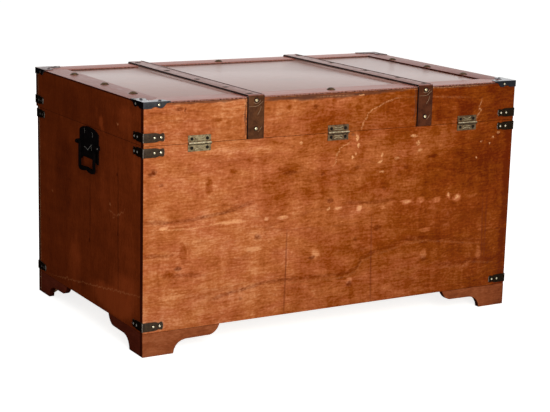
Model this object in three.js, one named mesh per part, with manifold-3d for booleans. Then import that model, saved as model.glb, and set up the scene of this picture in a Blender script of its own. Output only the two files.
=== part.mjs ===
// A flat-topped wooden sea chest, built as a joiner would build it: plank case on bracket feet,
// a hinged lid with an applied frame, two bands over the lid, metal corners, three butt hinges,
// a drop handle on each end and a swing-up catch on the front.
// Millimetres. +Z is up, the front faces -Y, and the origin is under the middle of the chest on the floor.
import * as THREE from 'three';
import { mergeVertices } from 'three/addons/utils/BufferGeometryUtils.js';
import Module from 'manifold-3d';

const wasm = await Module();
wasm.setup();

// Case
const caseWidth = 900;
const caseDepth = 548;
const lidLineHeight = 423;
const lidHeight = 85;
const footHeight = 48.4;
const boardThickness = 12;
const floorThickness = 9;
const lidPanelThickness = 9;
const lidLip = 7.3;

// Clearances and cutting
const joinGap = 0.3;
const cutOverrun = 5;

// Bracket feet
const footBoardLength = 172;
const footToeLength = 68;
const footSideLength = 164;
const footSideToeLength = 61;
const footBrowHeight = 27;
const footBlockWidth = 34;
const footShares = { coveBelly: [0.12, 0.9], ovoloLead: 0.3 };

// Lid frame
const frameWidth = 54;
const frameThickness = 3.2;

// Bands over the lid
const bandWidth = 38;
const bandThickness = 4;
const bandFromEnd = 244;

// Corner caps
const capReach = 58;
const capDrop = 12.5;
const capGauge = 1.2;
const capSideShares = {
  tip: [1, 0.14], tipBelly: [0.84, 0.14], lobeStart: [0.78, 0.72], lobeBelly: [0.66, 1.24],
  lobeEnd: [0.5, 0.76], notchBelly: [0.38, 0.66], skirtStart: [0.3, 1], skirtEnd: [0, 1],
};
const capTopShares = {
  corner: [0, 0], firstTip: [1, 0], firstShoulder: [1, 0.08], firstLobe: [0.72, 0.22],
  notch: [0.38, 0.38], secondLobe: [0.22, 0.72], secondShoulder: [0.08, 1], secondTip: [0, 1],
};
const capLobeShare = 0.22;

// Corner straps
const strapReach = 46;
const strapHeight = 18.5;
const strapGauge = 1.2;
const strapWaist = 2.4;
const strapLengthShares = { straight: 0.5, waistBelly: 0.66, waist: 0.76, tabBelly: 0.82, tab: 0.92, end: 1 };
const strapWaistShares = { waist: 1, tab: 0.3, end: 0.8 };
const lidStrapLift = 16.5;
const bodyStrapDrop = 13;
const footStrapLift = 13.5;

// Butt hinges
const hingeWidth = 50;
const hingeLeafHeight = 16;
const hingeLeafGauge = 1.5;
const hingeFromRightEnd = 120;
const hingeFromLeftEnd = 129;
const hingeOffMiddle = 9;
const knuckleRadius = 3;
const hingePinRadius = 1.3;
const hingeRunningGap = 0.1;
const knuckleCount = 5;

// End handles
const handleDrop = 38;
const handleTowardBack = 16;
const handlePlateWidth = 96;
const handlePlateRise = 37;
const handlePlateFall = 35;
const handlePlateGauge = 2;
const handleStandOff = 6;
const handleEarLap = 2;
const handleEarReach = 5;
const handleEarRadius = 4.5;
const handlePivotRadius = 2;
const handleRunningGap = 0.1;
const bailInset = 8;
const bailDrop = 53;
const bailBar = 7;
const bailGauge = 4.5;
const bailLobe = 4;
const bailPinProud = 1.5;
const handlePlateShares = {
  shoulder: 0.7, archBelly: 0.72, leg: 0.8, brow: 0.8, browBelly: 0.9, browFlat: 0.5,
};
const bailShares = { lobe: 0.6, nipBelly: 0.25, nip: 0.4, grip: 0.5, gripBelly: 0.3 };

// Front catch
const catchPlateWidth = 40;
const catchPlateHeight = 36;
const catchPlateDrop = 12;
const catchAxisDrop = 10.8;
const catchPlateGauge = 1.5;
const catchStandOff = 12;
const catchInset = 8;
const catchLength = 58;
const catchGauge = 2;
const catchBarrelRadius = 3;
const catchPinRadius = 1.5;
const catchEarThickness = 3.5;
const catchWindowWidth = 14;
const catchWindowFoot = 7.5;
const catchWindowHeight = 15;
const catchLipReach = 4;
const catchRoundShare = 0.5;
const keeperPlateHeight = 34;
const keeperGauge = 1.2;
const keeperPegWidth = 8;
const keeperPegHeight = 6;
const keeperPegReach = 6;

// How finely round stretches are drawn
const arcSteps = 5;
const roundSides = 16;

// Heights and faces that the pieces share
const halfWidth = caseWidth / 2;
const halfDepth = caseDepth / 2;
const lidFrontFace = halfDepth + lidLip;
const frameTopHeight = lidLineHeight + lidHeight;
const lidBoardTop = frameTopHeight - frameThickness;
const bandOffset = halfWidth - bandFromEnd;
const handleHeight = lidLineHeight - handleDrop;
const hingeAxisOut = joinGap + knuckleRadius;
const catchWidth = catchPlateWidth - catchInset * 2;
const catchWindowDistance = catchLength - catchWindowFoot - catchWindowHeight / 2;
const catchAxisHeight = lidLineHeight - catchPlateDrop - catchAxisDrop;
const catchEarRadius = catchBarrelRadius + joinGap;
const frontReach = halfDepth + catchStandOff + catchEarRadius;
const backReach = halfDepth + hingeAxisOut + knuckleRadius;

// Finishes
function finish(color, roughness, metalness) {
  return new THREE.MeshStandardMaterial({ color, roughness, metalness });
}
const finishes = {
  stainedBoard: () => finish(0xb86a3f, 0.45, 0),
  endBoard: () => finish(0x5a2412, 0.45, 0),
  topPanel: () => finish(0x9a6a58, 0.35, 0),
  topFrame: () => finish(0x7d4a3c, 0.35, 0),
  rawBoard: () => finish(0xc79a6b, 0.7, 0),
  band: () => finish(0x5c3d2a, 0.55, 0),
  capSteel: () => finish(0x2a2b30, 0.35, 0.8),
  strapSteel: () => finish(0x3a322b, 0.45, 0.8),
  hingeBrass: () => finish(0x9a8c6c, 0.4, 0.9),
  handleIron: () => finish(0x17161a, 0.45, 0.7),
};

// From three.js shapes to solids and back
function solid(geometry) {
  const bare = geometry.index ? geometry.toNonIndexed() : geometry;
  bare.deleteAttribute('normal');
  bare.deleteAttribute('uv');
  const merged = mergeVertices(bare);
  return new wasm.Manifold(new wasm.Mesh({
    numProp: 3,
    vertProperties: new Float32Array(merged.attributes.position.array),
    triVerts: new Uint32Array(merged.index.array),
  }));
}

function meshOf(body, name, material) {
  const cut = body.getMesh();
  const geometry = new THREE.BufferGeometry();
  geometry.setAttribute('position', new THREE.BufferAttribute(new Float32Array(cut.vertProperties), 3));
  geometry.setIndex(new THREE.BufferAttribute(new Uint32Array(cut.triVerts), 1));
  geometry.computeVertexNormals();
  const mesh = new THREE.Mesh(geometry, material);
  mesh.name = name;
  return mesh;
}

function block(low, high) {
  const size = high.map((value, axis) => value - low[axis]);
  const middle = high.map((value, axis) => (value + low[axis]) / 2);
  return solid(new THREE.BoxGeometry(...size).translate(...middle));
}

// Blocks given from the middle outward: side is +1 or -1, and near and far are distances from the middle
function span(side, near, far) {
  return side > 0 ? [near, far] : [-far, -near];
}

// A round bar along X or Y between two places, centred on the other two values
function barAlongX(radius, fromX, toX, y, z, sides = roundSides) {
  const bar = new THREE.CylinderGeometry(radius, radius, toX - fromX, sides);
  return solid(bar.rotateZ(Math.PI / 2).translate((fromX + toX) / 2, y, z));
}

function barAlongY(radius, x, fromY, toY, z, sides = roundSides) {
  const bar = new THREE.CylinderGeometry(radius, radius, toY - fromY, sides);
  return solid(bar.translate(x, (fromY + toY) / 2, z));
}

// Flat outlines given a thickness. An outline is a list of [across, up] points.
function outlineGeometry(points, thickness, holes = []) {
  const shape = new THREE.Shape(points.map(([x, y]) => new THREE.Vector2(x, y)));
  for (const hole of holes) {
    shape.holes.push(new THREE.Path(hole.map(([x, y]) => new THREE.Vector2(x, y))));
  }
  return new THREE.ExtrudeGeometry(shape, { depth: thickness, bevelEnabled: false });
}

// Outline in X and Y, lying between two heights
function lying(points, lowZ, highZ) {
  return solid(outlineGeometry(points, highZ - lowZ).translate(0, 0, lowZ));
}

// Outline in X and Z, standing between two places in Y
function facingY(points, lowY, highY, holes = []) {
  const plate = outlineGeometry(points, highY - lowY, holes);
  return solid(plate.rotateX(Math.PI / 2).translate(0, highY, 0));
}

// Outline in Y and Z, standing between two places in X
function facingX(points, lowX, highX, holes = []) {
  const plate = outlineGeometry(points, highX - lowX, holes);
  return solid(plate.rotateX(Math.PI / 2).rotateZ(Math.PI / 2).translate(lowX, 0, 0));
}

// Points of a smooth curve through its control points, without its first one
function bend(from, control, to) {
  const curve = new THREE.QuadraticBezierCurve(
    new THREE.Vector2(...from), new THREE.Vector2(...control), new THREE.Vector2(...to));
  return curve.getPoints(arcSteps).slice(1).map((point) => [point.x, point.y]);
}

// Points of an arc round a centre, in degrees
function arc(centre, radius, startDegrees, endDegrees, steps = arcSteps) {
  const points = [];
  for (let step = 0; step <= steps; step += 1) {
    const angle = THREE.MathUtils.degToRad(startDegrees + (endDegrees - startDegrees) * step / steps);
    points.push([centre[0] + radius * Math.cos(angle), centre[1] + radius * Math.sin(angle)]);
  }
  return points;
}

const chest = new THREE.Group();
const bodyGroup = new THREE.Group();
const lidGroup = new THREE.Group();
chest.add(bodyGroup, lidGroup);
chest.position.y = (frontReach - backReach) / 2;

const faces = [['front', -1], ['back', 1]];
const ends = [['right', 1], ['left', -1]];

// Boards of the case: the front and back run the full width, and the ends stand between them
function addCaseBoards() {
  const inner = halfDepth - boardThickness;
  const low = footHeight;
  const high = lidLineHeight - joinGap / 2;
  for (const [word, side] of faces) {
    const [lowY, highY] = span(side, inner, halfDepth);
    const board = block([-halfWidth, lowY, low], [halfWidth, highY, high]);
    bodyGroup.add(meshOf(board, `${word}_panel`, finishes.stainedBoard()));
  }
  for (const [word, side] of ends) {
    const [lowX, highX] = span(side, halfWidth - boardThickness, halfWidth);
    const board = block([lowX, -inner + joinGap, low], [highX, inner - joinGap, high]);
    bodyGroup.add(meshOf(board, `${word}_panel`, finishes.endBoard()));
  }
  const roomX = halfWidth - boardThickness - joinGap;
  const roomY = inner - joinGap;
  const floor = block([-roomX, -roomY, low], [roomX, roomY, low + floorThickness]);
  bodyGroup.add(meshOf(floor, 'bottom_panel', finishes.rawBoard()));
}

// Boards of the lid, its panel and the mitred frame on top
function addLidBoards() {
  const low = lidLineHeight + joinGap / 2;
  const edges = { front: lidFrontFace, back: halfDepth };
  for (const [word, side] of faces) {
    const [lowY, highY] = span(side, edges[word] - boardThickness, edges[word]);
    const board = block([-halfWidth, lowY, low], [halfWidth, highY, lidBoardTop]);
    lidGroup.add(meshOf(board, `lid_${word}_panel`, finishes.stainedBoard()));
  }
  const innerFront = -edges.front + boardThickness + joinGap;
  const innerBack = edges.back - boardThickness - joinGap;
  for (const [word, side] of ends) {
    const [lowX, highX] = span(side, halfWidth - boardThickness, halfWidth);
    const board = block([lowX, innerFront, low], [highX, innerBack, lidBoardTop]);
    lidGroup.add(meshOf(board, `lid_${word}_panel`, finishes.endBoard()));
  }
  const roomX = halfWidth - boardThickness - joinGap;
  const panel = block([-roomX, innerFront, lidBoardTop - lidPanelThickness], [roomX, innerBack, lidBoardTop]);
  lidGroup.add(meshOf(panel, 'lid_top_panel', finishes.topPanel()));
  addLidFrame(-edges.front, edges.back);
}

function addLidFrame(frontEdge, backEdge) {
  const low = lidBoardTop + joinGap;
  const mitre = joinGap;
  const rails = {
    front: [[-halfWidth + mitre, frontEdge], [halfWidth - mitre, frontEdge],
      [halfWidth - frameWidth - mitre, frontEdge + frameWidth],
      [-halfWidth + frameWidth + mitre, frontEdge + frameWidth]],
    back: [[-halfWidth + mitre, backEdge], [halfWidth - mitre, backEdge],
      [halfWidth - frameWidth - mitre, backEdge - frameWidth],
      [-halfWidth + frameWidth + mitre, backEdge - frameWidth]],
  };
  for (const [word, side] of ends) {
    rails[word] = [[side * halfWidth, frontEdge + mitre], [side * halfWidth, backEdge - mitre],
      [side * (halfWidth - frameWidth), backEdge - frameWidth - mitre],
      [side * (halfWidth - frameWidth), frontEdge + frameWidth + mitre]];
  }
  for (const [word, points] of Object.entries(rails)) {
    const rail = lying(points, low, frameTopHeight);
    lidGroup.add(meshOf(rail, `top_frame_${word}`, finishes.topFrame()));
  }
}

// Bracket feet: toe, cove, brow and ovolo, drawn from the corner inward
function footOutline(length, toe) {
  const brow = footBrowHeight;
  const [bellyAcross, bellyUp] = footShares.coveBelly;
  const lead = brow * footShares.ovoloLead;
  const top = footHeight - joinGap;
  const ovoloStart = length - (footHeight - brow);
  return [
    [0, 0],
    [toe, 0],
    ...bend([toe, 0], [toe + brow * bellyAcross, brow * bellyUp], [toe + brow, brow]),
    ...bend([ovoloStart - lead, brow], [length - lead, brow], [length, top]),
    [0, top],
  ];
}

function addFeet() {
  const inner = halfDepth - boardThickness;
  for (const [faceWord, faceSide] of faces) {
    for (const [endWord, endSide] of ends) {
      const corner = `${faceWord}_${endWord}`;
      const longer = footOutline(footBoardLength, footToeLength);
      const along = longer.map(([x, z]) => [endSide * (halfWidth - x), z]);
      const [lowY, highY] = span(faceSide, inner, halfDepth);
      const wide = facingY(along, lowY, highY);
      bodyGroup.add(meshOf(wide, `foot_${corner}_${faceWord}_board`, finishes.stainedBoard()));

      const start = inner - joinGap;
      const covered = halfDepth - start;
      const shorter = footOutline(footSideLength - covered, footSideToeLength - covered);
      const across = shorter.map(([y, z]) => [faceSide * (start - y), z]);
      const [lowX, highX] = span(endSide, halfWidth - boardThickness, halfWidth);
      const deep = facingX(across, lowX, highX);
      bodyGroup.add(meshOf(deep, `foot_${corner}_side_board`, finishes.endBoard()));

      const insideX = halfWidth - boardThickness - joinGap;
      const insideY = inner - joinGap;
      const cornerBlock = lying([
        [endSide * insideX, faceSide * insideY],
        [endSide * (insideX - footBlockWidth), faceSide * insideY],
        [endSide * insideX, faceSide * (insideY - footBlockWidth)],
      ], joinGap, footHeight - joinGap);
      bodyGroup.add(meshOf(cornerBlock, `foot_${corner}_block`, finishes.rawBoard()));
    }
  }
}

// Two bands that run up the lid's front, over the frame and down its back
function addBands() {
  const inFront = -(lidFrontFace + joinGap);
  const inBack = halfDepth + joinGap;
  const foot = lidLineHeight + joinGap;
  const bridge = frameTopHeight + joinGap;
  const outer = bandThickness;
  const section = [
    [inFront, foot], [inFront, bridge], [inBack, bridge], [inBack, foot],
    [inBack + outer, foot],
    ...arc([inBack, bridge], outer, 0, 90, 3),
    ...arc([inFront, bridge], outer, 90, 180, 3),
    [inFront - outer, foot],
  ];
  for (const [word, side] of ends) {
    const [lowX, highX] = span(side, bandOffset - bandWidth / 2, bandOffset + bandWidth / 2);
    lidGroup.add(meshOf(facingX(section, lowX, highX), `band_${word}`, finishes.band()));
  }
}

// Corner cap outlines, drawn from the corner: down a side, and over the top
function capSideOutline() {
  const place = (share) => [capReach * share[0], -capDrop * share[1]];
  const shares = capSideShares;
  const tip = place(shares.tip);
  const lobeStart = place(shares.lobeStart);
  const lobeEnd = place(shares.lobeEnd);
  return [
    [0, capGauge],
    [capReach, capGauge],
    tip,
    ...bend(tip, place(shares.tipBelly), lobeStart),
    ...bend(lobeStart, place(shares.lobeBelly), lobeEnd),
    ...bend(lobeEnd, place(shares.notchBelly), place(shares.skirtStart)),
    place(shares.skirtEnd),
  ];
}

function capTopOutline() {
  const place = (share) => share.map((value) => capReach * value);
  const shares = capTopShares;
  const radius = capReach * capLobeShare;
  return [
    place(shares.corner), place(shares.firstTip), place(shares.firstShoulder),
    ...arc(place(shares.firstLobe), radius, -20, 150),
    place(shares.notch),
    ...arc(place(shares.secondLobe), radius, -60, 110),
    place(shares.secondShoulder), place(shares.secondTip),
  ];
}

function addCornerCaps() {
  const out = joinGap + capGauge;
  const sideOutline = capSideOutline();
  for (const [faceWord, faceSide] of faces) {
    const faceY = faceSide > 0 ? halfDepth : lidFrontFace;
    const [lowY, highY] = span(faceSide, faceY + joinGap, faceY + out);
    for (const [endWord, endSide] of ends) {
      const [lowX, highX] = span(endSide, halfWidth + joinGap, halfWidth + out);
      const topZ = frameTopHeight + joinGap;
      const wide = sideOutline.map(([x, z]) => [endSide * (halfWidth + out - x), topZ + z]);
      const deep = sideOutline.map(([y, z]) => [faceSide * (faceY + out - y), topZ + z]);
      const over = capTopOutline().map(([x, y]) => [
        endSide * (halfWidth + out - x), faceSide * (faceY + out - y)]);
      const cap = facingY(wide, lowY, highY)
        .add(facingX(deep, lowX, highX))
        .add(lying(over, topZ, topZ + capGauge));
      lidGroup.add(meshOf(cap, `corner_cap_${faceWord}_${endWord}`, finishes.capSteel()));
    }
  }
}

// Corner straps: a band with a waist and a round tab, folded round a vertical edge
function strapOutline() {
  const place = (lengthShare, waistShare) => [
    strapReach * lengthShare, strapHeight / 2 - strapWaist * waistShare];
  const along = strapLengthShares;
  const inward = strapWaistShares;
  const straight = place(along.straight, 0);
  const waist = place(along.waist, inward.waist);
  const tab = place(along.tab, inward.tab);
  const edge = [
    place(0, 0),
    straight,
    ...bend(straight, place(along.waistBelly, 0), waist),
    ...bend(waist, place(along.tabBelly, inward.waist), tab),
    ...bend(tab, place(along.end, inward.end), [strapReach, 0]),
  ];
  const lower = edge.slice(0, -1).reverse().map(([x, z]) => [x, -z]);
  return [...edge, ...lower];
}

function addCornerStraps() {
  const outline = strapOutline();
  const out = joinGap + strapGauge;
  const rows = [
    ['lid', lidLineHeight + lidStrapLift, lidGroup, lidFrontFace],
    ['upper', lidLineHeight - bodyStrapDrop, bodyGroup, halfDepth],
    ['foot', footHeight + footStrapLift, bodyGroup, halfDepth],
  ];
  for (const [rowWord, height, group, frontFace] of rows) {
    for (const [faceWord, faceSide] of faces) {
      const faceY = faceSide > 0 ? halfDepth : frontFace;
      const [lowY, highY] = span(faceSide, faceY + joinGap, faceY + out);
      for (const [endWord, endSide] of ends) {
        const [lowX, highX] = span(endSide, halfWidth + joinGap, halfWidth + out);
        const wide = outline.map(([x, z]) => [endSide * (halfWidth + out - x), height + z]);
        const deep = outline.map(([y, z]) => [faceSide * (faceY + out - y), height + z]);
        const strap = facingY(wide, lowY, highY).add(facingX(deep, lowX, highX));
        const name = `${rowWord}_strap_${faceWord}_${endWord}`;
        group.add(meshOf(strap, name, finishes.strapSteel()));
      }
    }
  }
}

// Butt hinges: interleaved knuckles on one pin, the outer ones on the body's leaf
function hingeLeaf(centreX, upper) {
  const axisY = halfDepth + hingeAxisOut;
  const leafY = halfDepth + joinGap;
  const direction = upper ? 1 : -1;
  const [lowZ, highZ] = span(direction, 0, hingeLeafHeight);
  const left = centreX - hingeWidth / 2;
  let leaf = block([left, leafY, lidLineHeight + lowZ],
    [left + hingeWidth, leafY + hingeLeafGauge, lidLineHeight + highZ]);
  const pitch = hingeWidth / knuckleCount;
  const notch = knuckleRadius + joinGap;
  for (let index = 0; index < knuckleCount; index += 1) {
    const own = (index % 2 === 1) === upper;
    const from = left + pitch * index;
    const firstEnd = index === 0;
    const lastEnd = index === knuckleCount - 1;
    if (own) {
      const knuckle = barAlongX(knuckleRadius, from + (firstEnd ? 0 : joinGap / 2),
        from + pitch - (lastEnd ? 0 : joinGap / 2), axisY, lidLineHeight);
      leaf = leaf.add(knuckle);
    } else {
      const room = block(
        [from - (firstEnd ? cutOverrun : joinGap / 2), leafY - cutOverrun, lidLineHeight - notch],
        [from + pitch + (lastEnd ? cutOverrun : joinGap / 2), leafY + cutOverrun, lidLineHeight + notch]);
      leaf = leaf.subtract(room);
    }
  }
  const bore = barAlongX(hingePinRadius + hingeRunningGap, left - cutOverrun,
    left + hingeWidth + cutOverrun, axisY, lidLineHeight);
  return leaf.subtract(bore);
}

function addHinges() {
  const places = [['right', halfWidth - hingeFromRightEnd], ['centre', hingeOffMiddle],
    ['left', hingeFromLeftEnd - halfWidth]];
  const axisY = halfDepth + hingeAxisOut;
  for (const [word, centreX] of places) {
    bodyGroup.add(meshOf(hingeLeaf(centreX, false), `hinge_${word}_lower_leaf`, finishes.hingeBrass()));
    lidGroup.add(meshOf(hingeLeaf(centreX, true), `hinge_${word}_upper_leaf`, finishes.hingeBrass()));
    const pin = barAlongX(hingePinRadius, centreX - hingeWidth / 2, centreX + hingeWidth / 2,
      axisY, lidLineHeight);
    bodyGroup.add(meshOf(pin, `hinge_${word}_pin`, finishes.hingeBrass()));
  }
}

// End handles: an arched back plate with two ears, and a bail that hangs between them
function mirrored(points) {
  return points.map(([x, y]) => [-x, y]).reverse();
}

function handlePlateOutline() {
  const half = handlePlateWidth / 2;
  const shares = handlePlateShares;
  const top = handleHeight + handlePlateRise;
  const foot = handleHeight - handlePlateFall;
  const shoulder = [half, handleHeight + handlePlateRise * shares.shoulder];
  const leg = half * shares.leg;
  const brow = handleHeight - handlePlateFall * shares.brow;
  const right = [
    ...bend([leg * shares.browFlat, brow], [leg * shares.browBelly, brow], [leg, foot]),
    [half, foot],
    shoulder,
    ...bend(shoulder, [half * shares.archBelly, top], [0, top]).slice(0, -1),
  ];
  return [...right, [0, top], ...mirrored(right)];
}

function handlePlate(endSide, centreY) {
  const half = handlePlateWidth / 2;
  const faceX = halfWidth + joinGap;
  const [lowX, highX] = span(endSide, faceX, faceX + handlePlateGauge);
  const points = handlePlateOutline().map(([y, z]) => [centreY + y, z]);
  let plate = facingX(points, lowX, highX);
  const pivotX = endSide * (faceX + handleStandOff);
  for (const side of [1, -1]) {
    const [lowY, highY] = span(side, half - handleEarLap, half + handleEarReach);
    const [earLow, earHigh] = span(endSide, faceX, faceX + handleStandOff);
    const ear = block([earLow, centreY + lowY, handleHeight - handleEarRadius],
      [earHigh, centreY + highY, handleHeight + handleEarRadius]);
    const round = barAlongY(handleEarRadius, pivotX, centreY + lowY, centreY + highY, handleHeight);
    const bore = barAlongY(handlePivotRadius + handleRunningGap, pivotX,
      centreY + lowY - cutOverrun, centreY + highY + cutOverrun, handleHeight);
    plate = plate.add(ear).add(round).subtract(bore);
  }
  return plate;
}

// The bail's grip dips in two lobes with a nip between them
function bailOutline() {
  const half = handlePlateWidth / 2 - bailInset;
  const inside = half - bailBar;
  const foot = handleHeight - bailDrop;
  const shares = bailShares;
  const low = foot - bailLobe;
  const lobe = [half * shares.lobe, low];
  const nip = [0, foot + bailLobe * shares.nip];
  const gripTop = foot + bailBar;
  const gripEnd = [inside, gripTop - bailLobe * shares.grip];
  const outer = [
    ...bend(nip, [half * shares.nipBelly, low], lobe),
    ...bend(lobe, [half, low], [half, foot + bailLobe]),
    [half, handleHeight],
  ];
  const inner = [
    [inside, handleHeight],
    gripEnd,
    ...bend(gripEnd, [inside * shares.gripBelly, gripEnd[1]], [0, gripTop]).slice(0, -1),
  ];
  return [nip, ...outer, ...inner, [0, gripTop], ...mirrored(inner), ...mirrored(outer)];
}

function handleBail(endSide, centreY) {
  const half = handlePlateWidth / 2 - bailInset;
  const inside = half - bailBar;
  const pivotX = halfWidth + joinGap + handleStandOff;
  const [lowX, highX] = span(endSide, pivotX - bailGauge / 2, pivotX + bailGauge / 2);
  let bail = facingX(bailOutline().map(([y, z]) => [centreY + y, z]), lowX, highX);
  const pinEnd = handlePlateWidth / 2 + handleEarReach + bailPinProud;
  for (const side of [1, -1]) {
    const [eyeLow, eyeHigh] = span(side, inside, half);
    const [pinLow, pinHigh] = span(side, inside, pinEnd);
    bail = bail
      .add(barAlongY(bailBar / 2, endSide * pivotX, centreY + eyeLow, centreY + eyeHigh, handleHeight))
      .add(barAlongY(handlePivotRadius, endSide * pivotX, centreY + pinLow, centreY + pinHigh, handleHeight));
  }
  return bail;
}

function addHandles() {
  for (const [word, side] of ends) {
    const plate = handlePlate(side, handleTowardBack);
    const bail = handleBail(side, handleTowardBack);
    bodyGroup.add(meshOf(plate, `handle_${word}_plate`, finishes.handleIron()));
    chest.add(meshOf(bail, `handle_${word}_bail`, finishes.handleIron()));
  }
}

// Front catch: a slotted tongue on an eared plate, and a peg on the lid that it swings up to
function catchPlate() {
  const face = halfDepth + joinGap;
  const half = catchPlateWidth / 2;
  const top = lidLineHeight - catchPlateDrop;
  const [lowY, highY] = span(-1, face, face + catchPlateGauge);
  let plate = block([-half, lowY, top - catchPlateHeight], [half, highY, top]);
  const axisY = -(halfDepth + catchStandOff);
  for (const side of [1, -1]) {
    const earInner = catchWidth / 2 + joinGap;
    const [lowX, highX] = span(side, earInner, earInner + catchEarThickness);
    const ear = block([lowX, axisY, catchAxisHeight - catchEarRadius],
      [highX, -face, catchAxisHeight + catchEarRadius]);
    const round = barAlongX(catchEarRadius, lowX, highX, axisY, catchAxisHeight);
    const bore = barAlongX(catchPinRadius + hingeRunningGap, lowX - cutOverrun, highX + cutOverrun,
      axisY, catchAxisHeight);
    plate = plate.add(ear).add(round).subtract(bore);
  }
  return plate;
}

function catchTongue() {
  const axisY = -(halfDepth + catchStandOff);
  const half = catchWidth / 2;
  const foot = catchAxisHeight - catchLength;
  const windowHalf = catchWindowWidth / 2;
  const windowMiddle = catchAxisHeight - catchWindowDistance;
  const windowLow = windowMiddle - catchWindowHeight / 2;
  const windowHigh = windowMiddle + catchWindowHeight / 2;
  const round = half * catchRoundShare;
  const right = [
    [half - round, foot],
    ...bend([half - round, foot], [half, foot], [half, foot + round]),
    [half, catchAxisHeight],
  ];
  const opening = [[-windowHalf, windowLow], [windowHalf, windowLow],
    [windowHalf, windowHigh], [-windowHalf, windowHigh]];
  const blade = facingY([...right, ...mirrored(right)],
    axisY - catchGauge / 2, axisY + catchGauge / 2, [opening]);
  const barrel = barAlongX(catchBarrelRadius, -half, half, axisY, catchAxisHeight);
  const pinHalf = half + joinGap + catchEarThickness;
  const pin = barAlongX(catchPinRadius, -pinHalf, pinHalf, axisY, catchAxisHeight);
  const lipEnd = axisY + catchGauge / 2 + catchLipReach;
  const lip = block([round - half, axisY, foot], [half - round, lipEnd, foot + catchGauge]);
  return blade.add(barrel).add(pin).add(lip);
}

function catchKeeper() {
  const face = lidFrontFace + joinGap;
  const pegMiddle = catchAxisHeight + catchWindowDistance;
  const half = catchPlateWidth / 2;
  const [lowY, highY] = span(-1, face, face + keeperGauge);
  const plate = block([-half, lowY, pegMiddle - keeperPlateHeight / 2],
    [half, highY, pegMiddle + keeperPlateHeight / 2]);
  const peg = block(
    [-keeperPegWidth / 2, lowY - keeperPegReach, pegMiddle - keeperPegHeight / 2],
    [keeperPegWidth / 2, highY, pegMiddle + keeperPegHeight / 2]);
  return plate.add(peg);
}

function addCatch() {
  bodyGroup.add(meshOf(catchPlate(), 'catch_plate', finishes.hingeBrass()));
  chest.add(meshOf(catchTongue(), 'catch_tongue', finishes.hingeBrass()));
  lidGroup.add(meshOf(catchKeeper(), 'catch_keeper', finishes.hingeBrass()));
}

addCaseBoards();
addLidBoards();
addFeet();
addBands();
addCornerCaps();
addCornerStraps();
addHinges();
addHandles();
addCatch();

export default chest;
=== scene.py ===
import math
import random

import bmesh
import bpy
from mathutils import Matrix, Vector


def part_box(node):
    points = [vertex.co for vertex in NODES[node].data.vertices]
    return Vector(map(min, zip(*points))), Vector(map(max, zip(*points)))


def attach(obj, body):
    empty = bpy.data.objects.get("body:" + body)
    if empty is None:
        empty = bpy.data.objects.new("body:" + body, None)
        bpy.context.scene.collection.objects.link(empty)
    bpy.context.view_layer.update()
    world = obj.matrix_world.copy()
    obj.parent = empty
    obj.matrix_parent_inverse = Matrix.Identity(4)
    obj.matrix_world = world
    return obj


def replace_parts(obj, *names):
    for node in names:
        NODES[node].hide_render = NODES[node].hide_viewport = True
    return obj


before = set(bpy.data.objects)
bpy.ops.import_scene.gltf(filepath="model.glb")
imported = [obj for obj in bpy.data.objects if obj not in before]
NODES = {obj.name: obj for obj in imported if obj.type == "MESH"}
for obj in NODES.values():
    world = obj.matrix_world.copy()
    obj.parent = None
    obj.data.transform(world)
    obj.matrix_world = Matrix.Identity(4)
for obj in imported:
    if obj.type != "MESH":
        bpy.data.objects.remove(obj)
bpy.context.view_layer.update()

# Real sizes, in millimetres unless a name says otherwise
MM = 0.001
MERGE_MM = 0.01
FLAT_DEGREES = 1.0
SHARP_DEGREES = 32.0

CASE_FRONT = -269.5
LID_FRONT = -276.8
LID_LINE = 423.0
FRAME_TOP = 508.0
BAND_CENTRE = 206.0
HINGE_CENTRES = {"right": 330.0, "centre": 9.0, "left": -321.0}
HINGE_AXIS_Y = 281.8

FACES = {"back": 1, "front": -1}
ENDS = {"right": 1, "left": -1}
CORNERS = [(face, end) for face in FACES for end in ENDS]
OUT_Y = {"back": Vector((0, 1, 0)), "front": Vector((0, -1, 0))}
OUT_X = {"right": Vector((1, 0, 0)), "left": Vector((-1, 0, 0))}
UP = Vector((0, 0, 1))


def placed(name, data):
    """A new object in the scene, with that data."""
    made = bpy.data.objects.new(name, data)
    bpy.context.scene.collection.objects.link(made)
    return made


def mesh_from(name, shape):
    """The mesh of a shape that is done."""
    mesh = bpy.data.meshes.new(name)
    shape.to_mesh(mesh)
    shape.free()
    return mesh


# Camera, at the photographed angle. It sees 60 m far
CAMERA_PLACE = Vector((1.66522, 2.83976, 0.93964))
CAMERA_FORWARD = Vector((-0.49593, -0.84099, -0.21630))
CAMERA_ROLL_DEGREES = 1.431
CAMERA_LENS, SENSOR, SIGHT = 98.20, 36.0, 60.0


def place_camera():
    """The camera stands behind the chest and looks at its back, its hinges and one end."""
    data = bpy.data.cameras.new("view_of_back")
    data.lens, data.sensor_width, data.sensor_fit = CAMERA_LENS, SENSOR, "HORIZONTAL"
    data.clip_end = SIGHT
    camera = placed("view_of_back", data)
    level = CAMERA_FORWARD.to_track_quat("-Z", "Y").to_matrix()
    roll = Matrix.Rotation(math.radians(CAMERA_ROLL_DEGREES), 3, "Z")
    camera.matrix_world = Matrix.Translation(CAMERA_PLACE) @ (level @ roll).to_4x4()
    bpy.context.scene.camera = camera


place_camera()


# Colours and nodes
def tone(code):
    """An sRGB hex colour as the linear colour that a shader takes."""
    shares = [int(code[start:start + 2], 16) / 255 for start in (0, 2, 4)]
    linear = [s / 12.92 if s <= 0.04045 else ((s + 0.055) / 1.055) ** 2.4 for s in shares]
    return (*linear, 1.0)


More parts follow.
